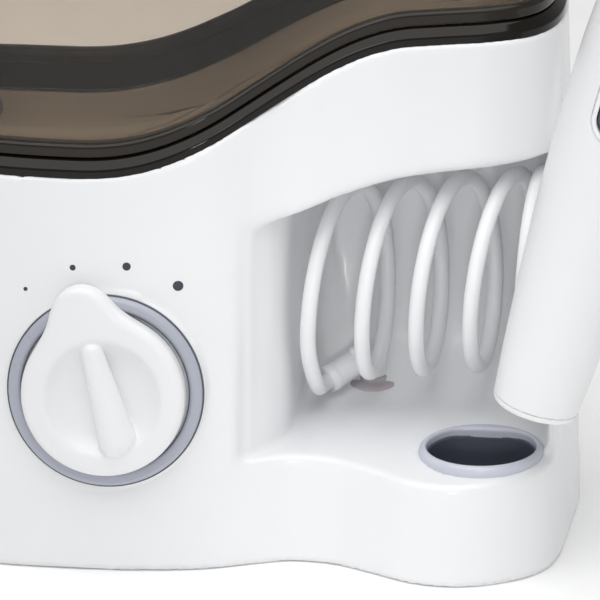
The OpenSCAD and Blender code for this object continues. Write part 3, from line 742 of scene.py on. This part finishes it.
def make_dial():
    ob = skin("pressure_dial", knob, (-27, -27, -1), (27, 36, 12), 0.6, AT_KNOB)
    finish_piece(ob, SATIN_WHITE, "dial", "white_shell", "dial_knob")
    inner = DIAL_R + 0.45
    ring = rounded([
        (inner, 0.06), (inner, 1.6), (inner + 0.8, 2.15), (RING_R - 1.2, 2.15), (RING_R - 0.1, 1.3),
        (RING_R - 0.1, 0.06),
    ], 0.5)
    finish_piece(lathe("dial_ring_trim", ring, AT_DIAL), BLUE_GREY, "base", "blue_grey", "dial_ring")
    edges = [("outer", RING_R - 0.1, RING_R + 0.35, 0.75), ("inner", inner - 0.3, inner + 0.15, 1.65)]
    for side, low, high, top in edges:
        line = rounded([(low, 0.1), (low, top), (high, top), (high, 0.1)], 0.15)
        finish_piece(lathe("dial_line_" + side, line, AT_DIAL), RIM_DARK, "base", "blue_grey")


def onto_housing(x, y, lift):
    """Points of the dial's plane dropped along its axis onto the housing's wall."""
    depth = np.full(len(x), 3.0)
    for _ in range(40):
        depth -= housing_core(*moved(np.stack([x, y, depth], 1), AT_DIAL).T) * 0.9
    return moved(np.stack([x, y, depth + lift], 1), AT_DIAL)


def make_dots():
    """Four printed dots that lie on the wall."""
    verts, faces, n = [], [], 32
    a = np.linspace(0, 2 * np.pi, n, endpoint=False)
    for angle, size in DOTS:
        cx, cy = DOT_R * math.sin(math.radians(angle)), DOT_R * math.cos(math.radians(angle))
        start = sum(len(v) for v in verts)
        for r, lift in ((size, -0.15), (size, 0.05), (size * 0.92, 0.09), (size * 0.05, 0.09)):
            verts.append(onto_housing(cx + r * np.cos(a), cy + r * np.sin(a), lift))
        faces += [tuple(start + i for i in f) for f in grid_faces(4, n) + end_caps(4, n)]
    ob = add_mesh("pressure_dots", np.vstack(verts), faces)
    finish_piece(ob, PRINT, "base", "dark_print", "dial_marks")


# ---------------------------------------------------------------- socket
def make_socket():
    def bezel_ring(x, y, z):
        r = np.hypot(x, y)
        hole = smooth_max(r - SOCKET_R, y - 13.3, 2.5)
        ring = smooth_max(r - 18.1, np.maximum(-3 - z, z - 1.9), 2.2)
        return smooth_max(ring, -hole, 0.9)

    ob = skin("socket_bezel", bezel_ring, (-20, -20, -5), (20, 20, 4), 0.6, AT_SOCKET)
    finish_piece(ob, BEZEL, "base", "blue_grey", "socket_ring")

    def cup(x, y, z):
        r = np.hypot(x, y)
        hole = smooth_max(r - SOCKET_R + 0.35, y - 13.3, 2.5)
        hole = smooth_max(hole, -16.8 - z, 3)
        outer = np.maximum(r - 16.85, np.maximum(-18.2 - z, z + 0.2))
        return np.maximum(smooth_max(outer, -hole, 0.8), 2 - r)

    ob = skin("socket_liner", cup, (-19, -19, -23), (19, 19, 2), 0.7, AT_SOCKET)
    finish_piece(ob, SLATE, "base", "slate", "socket_cup")


CRADLE_MIDDLE, CRADLE_HALF = (100.7, -22.9, 70), (4.8, 7.6, 6)
CRADLE_HOLLOW_R, MAGNET_H, MAGNET_POCKET_R = 14.8, 22, 4.15


def cradle(x, y, z):
    """Block on the right-hand wall, hollowed to the handset, with a pocket for its magnet."""
    gx, gy, gz = local(AT_GRIP, x, y, z)
    dx, dy, dz = (np.abs(v - m) - h for v, m, h in zip((x, y, z), CRADLE_MIDDLE, CRADLE_HALF))
    block = smooth_max(smooth_max(dx, dy, 3), dz, 3)
    block = smooth_max(block, CRADLE_HOLLOW_R - np.hypot(gx, gy), 1.2)
    return smooth_max(block, -np.maximum(np.hypot(gx, gz - MAGNET_H) - MAGNET_POCKET_R, -gy), 0.4)


def make_cradle():
    ob = skin("handset_cradle", cradle, (94, -32, 62), (107, -14, 78), 0.5)
    finish_piece(ob, WHITE, "base", "white_shell", "handle_cradle")


# ---------------------------------------------------------------- hose
COIL_START, COIL_PITCH, COIL_TURNS, EASE_FROM = 27.45, 15.65, 5.0, 3.25
COIL_R, COIL_LEAN, FIRST_DROP = 27.4, 3.46, 4.0
COIL_Z, COIL_Z_FROM, COIL_RISE = 73.9, 41.6, 0.1125
STEPS_PER_TURN, HOSE_STEPS = 64, 380


def coil_point(t):
    """Point of the hose after t turns from the bottom of the first one.

    The turns lean, rise to the right and close up at the end, and the first one starts lower.
    """
    u = np.clip((t - EASE_FROM) / (COIL_TURNS - EASE_FROM), 0, 1)
    reach = COIL_PITCH * (COIL_TURNS - EASE_FROM) / 2
    along = COIL_START + COIL_PITCH * np.minimum(t, EASE_FROM) + reach * (1 - (1 - u) ** 2)
    lean = COIL_LEAN * (1 - smoothstep(t, 3.2, 4.3)) * smoothstep(t, 0, 0.2)
    drop = FIRST_DROP * (1 - smoothstep(t, 0, 0.24))
    angle = 2 * np.pi * t
    middle = COIL_Z + (along - COIL_Z_FROM) * COIL_RISE - drop
    y, z = -COIL_R * np.sin(angle), middle - COIL_R * np.cos(angle)
    return np.stack([along - lean * np.sin(angle), y, z], -1)


def hose_path():
    turns = coil_point(np.arange(0, COIL_TURNS + 1e-6, 1 / STEPS_PER_TURN))
    start = open_curve([(33, 5.6, 43), (31, 3.6, 42.1), (29, 1.6, 41.3)], 4)
    end = [
        (92, -5, 52.4), (92.2, -10, 53.6), (92.5, -15, 56), (92.8, -20, 59), (93, -23.6, 60.5),
        (93, -26.6, 60.7),
    ]
    return even(np.vstack([start[:-1], turns[2:-1], open_curve([turns[-1], *end], 6)]), HOSE_STEPS)


def make_hose():
    path = hose_path()
    ob = tube("coiled_hose", path, HOSE_R)
    ob.data.materials.append(HOSE_WHITE)
    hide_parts("hose_coil", "hose_lead")
    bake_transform(ob)


def make_elbow():
    """Moulded elbow with a sleeve over the hose, a boss on its back and a grommet at its foot."""
    path = open_curve([
        (41, 15, 30), (41, 15, 36), (41, 15, 41), (40, 13.8, 44), (37.2, 10.4, 44.8), (34, 6.8, 43.8),
        (31, 3.7, 42.4), (29.2, 1.8, 41.5),
    ], 8)
    radii = np.interp(np.linspace(0, 1, len(path)), [0, 0.5, 0.86, 0.9, 1], [3.2, 3.6, 3.9, 4.2, 3.9])
    finish_piece(tube("hose_elbow_body", path, radii, 24), HOSE_WHITE, "base", "hose_white", "hose_elbow")
    boss = rounded([(0.1, 0), (1.9, 0), (1.9, 3.6), (1.2, 4.3), (0.1, 4.3)], 0.5)
    place = Matrix.Translation((36.2, 9.2, 45.2))
    finish_piece(lathe("hose_elbow_boss", boss, place, 32, closed=False), HOSE_WHITE, "base", "hose_white")
    place = turned(Vector((41, 15, 37.5)), "X", SHELF_TILT)
    flange = [(3.3, 0.05), (8.6, 0.05), (8.6, 0.9), (7.2, 1.5), (4.8, 1.6), (3.9, 2.4), (3.3, 2.4)]
    ob = lathe("hose_flange_grommet", rounded(flange, 0.5), place, 64)
    finish_piece(ob, GROMMET, "base", "cover_plastic", "hose_flange")


# ---------------------------------------------------------------- handset
GRIP_LINE = [
    (12.5, GRIP_SEAM), (13.4, 16), (14.4, 30), (15.4, 46), (16.4, 66), (17, 88), (17, 110), (16.2, 128),
    (14.8, 141), (13, 150),
]
grip_curve = open_curve(GRIP_LINE, 6)
GRIP_WALL, EJECT_HOLE_R, NIPPLE_X, NIPPLE_H, NIPPLE_HOLE_R = 2, 4.4, -4.4, 12, 3.9
WINDOW_W, WINDOW_H, PAD_DROP, PAD_FRONT, RIB_GAP = 15, 22, 2.6, 16.2, 2.4


def grip_r(h):
    return np.interp(h, grip_curve[:, 1], grip_curve[:, 0])


def oval(x, z, w, h):
    """Distance to an upright stadium of width w and height h."""
    return segment(x, z, 0, (w - h) / 2, 0, (h - w) / 2) - w / 2


def grip_shell(x, y, z):
    """The whole tapering grip, open at both ends."""
    r = np.hypot(x, y)
    out = smooth_max(r - grip_r(z), z - GRIP_L, 1.4)
    out = smooth_max(out, GRIP_SEAM + 0.03 - z, 0.35)
    return np.maximum(out, -(r - grip_r(z) + GRIP_WALL))


def front_shell(x, y, z):
    """Front half of the grip, with the switch window and the eject button's hole."""
    window = oval(x, z - SWITCH_H, WINDOW_W + 0.2, WINDOW_H + 0.2)
    shell = smooth_max(smooth_max(grip_shell(x, y, z), y + 0.06, 0.5), -np.maximum(window, y), 0.6)
    return smooth_max(shell, -np.maximum(np.hypot(x, z - EJECT_H) - EJECT_HOLE_R, y), 0.5)


def rear_shell(x, y, z):
    """Rear half of the grip, with the hole for the hose."""
    shell = smooth_max(grip_shell(x, y, z), 0.06 - y, 0.5)
    return smooth_max(shell, -np.maximum(np.hypot(x - NIPPLE_X, z - NIPPLE_H) - NIPPLE_HOLE_R, -y), 0.5)


def bezel(x, y, z):
    """Oval frame of the switch window, a little proud of the grip."""
    up = z - SWITCH_H
    ring = smooth_max(oval(x, up, WINDOW_W, WINDOW_H), -oval(x, up, WINDOW_W - 3, WINDOW_H - 3), 0.8)
    front = -y - np.sqrt(np.maximum((grip_r(z) + 0.45) ** 2 - x**2, 1))
    return smooth_max(ring, np.maximum(front, y + 12.7), 0.6)


def slider(x, y, z):
    """Switch pad with three ribs for the thumb."""
    h = z - SWITCH_H + PAD_DROP
    pad = smooth_max(oval(x, h, 11.4, 13), np.maximum(-y - PAD_FRONT - 0.02 * h, y + 12.9), 1.2)
    ribs = np.minimum(np.minimum(np.abs(h - RIB_GAP), np.abs(h + RIB_GAP)), np.abs(h))
    rib = smooth_max(np.hypot(ribs, np.maximum(-y - PAD_FRONT, 0)) - 0.55, np.abs(x) - 3.4, 0.4)
    return smooth_min(pad, np.maximum(rib, y + 15), 0.4)


def make_handset():
    lo, hi = (-19, -19, 6), (19, 19, 152)
    ob = skin("grip_front", front_shell, lo, (19, 1.5, 152), 0.75, AT_GRIP)
    finish_piece(ob, SATIN_WHITE, "handset", "white_shell", "grip_front_shell")
    ob = skin("grip_rear", rear_shell, (-19, -1.5, 6), hi, 0.75, AT_GRIP)
    finish_piece(ob, SATIN_WHITE, "handset", "white_shell", "grip_rear_shell")
    cap = [
        (0.3, 4), (9.8, 4.05), (11.8, 4.6), (12.35, 5.5), (12.45, 6.35), (10.2, 6.35), (10.2, 8.2),
        (0.3, 8.2),
    ]
    ob = lathe("grip_foot", rounded(cap, 0.6), AT_GRIP, closed=False)
    finish_piece(ob, SATIN_WHITE, "handset", "white_shell", "grip_end_cap")
    ob = skin("switch_frame", bezel, (-9, -19.5, 90), (9, -11, 118), 0.45, AT_GRIP)
    finish_piece(ob, WHITE, "handset", "white_shell", "switch_bezel")
    ob = skin("switch_pad", slider, (-8, -18.5, 93), (8, -11, 111), 0.45, AT_GRIP)
    finish_piece(ob, SLATE, "switch", "slate", "switch_slider")
    collar = [(3.4, 0.1), (11.6, 0.1), (12, 0.6), (12, 5.6), (11.4, 6.4), (8.6, 9), (7.6, 9.8), (3.4, 9.8)]
    place = AT_GRIP @ Matrix.Translation((0, 0, GRIP_L + 0.4))
    ob = knurled("tip_collar_ring", rounded(collar, 0.5), place)
    finish_piece(ob, BLUE_GREY, "collar", "blue_grey", "tip_collar")
    make_tip()


def knurled(name, profile, place, grips=18, n=180):
    """A lathe whose outer wall swells into shallow grips."""
    p = np.array(profile, float)
    a = np.linspace(0, 2 * np.pi, n, endpoint=False)
    verts = []
    for r, h in p:
        swell = 0.55 * np.maximum(np.cos(grips * a), 0) ** 3 if r > 11.5 and h < 6 else 0
        verts.append(np.column_stack([(r + swell) * np.cos(a), (r + swell) * np.sin(a), np.full(n, h)]))
    return add_mesh(name, moved(np.vstack(verts), place), grid_faces(len(p), n) + closing_quads(len(p), n))


def make_tip():
    foot = [(0, 0, 0.9), (0, 0, 16), (0, 0, 58.5), (0, -0.6, 61), (0, -2.6, 62.4), (0, -8, 63.9)]
    path = open_curve(foot, 12)
    run = np.concatenate([[0], np.cumsum(np.linalg.norm(np.diff(path, axis=0), axis=1))]) + 0.9
    radii = np.interp(run, [0.9, 10.6, 10.8, 13.1, 13.3, 23, 60.5, 67, 69.8],
                      [2.95, 2.95, 5.3, 5.3, 4.5, 2.4, 1.7, 1.35, 0.9])
    ob = tube("jet_nozzle", moved(path, AT_GRIP @ Matrix.Translation((0, 0, GRIP_L))), radii, 32)
    finish_piece(ob, SATIN_WHITE, "tip", "white_shell", "jet_tip")


make_camera()
make_studio()
dress_cad()
make_hose()
make_elbow()
make_housing()
make_tray()
make_tank()
make_lid()
make_dial()
make_dots()
make_socket()
make_cradle()
make_handset()
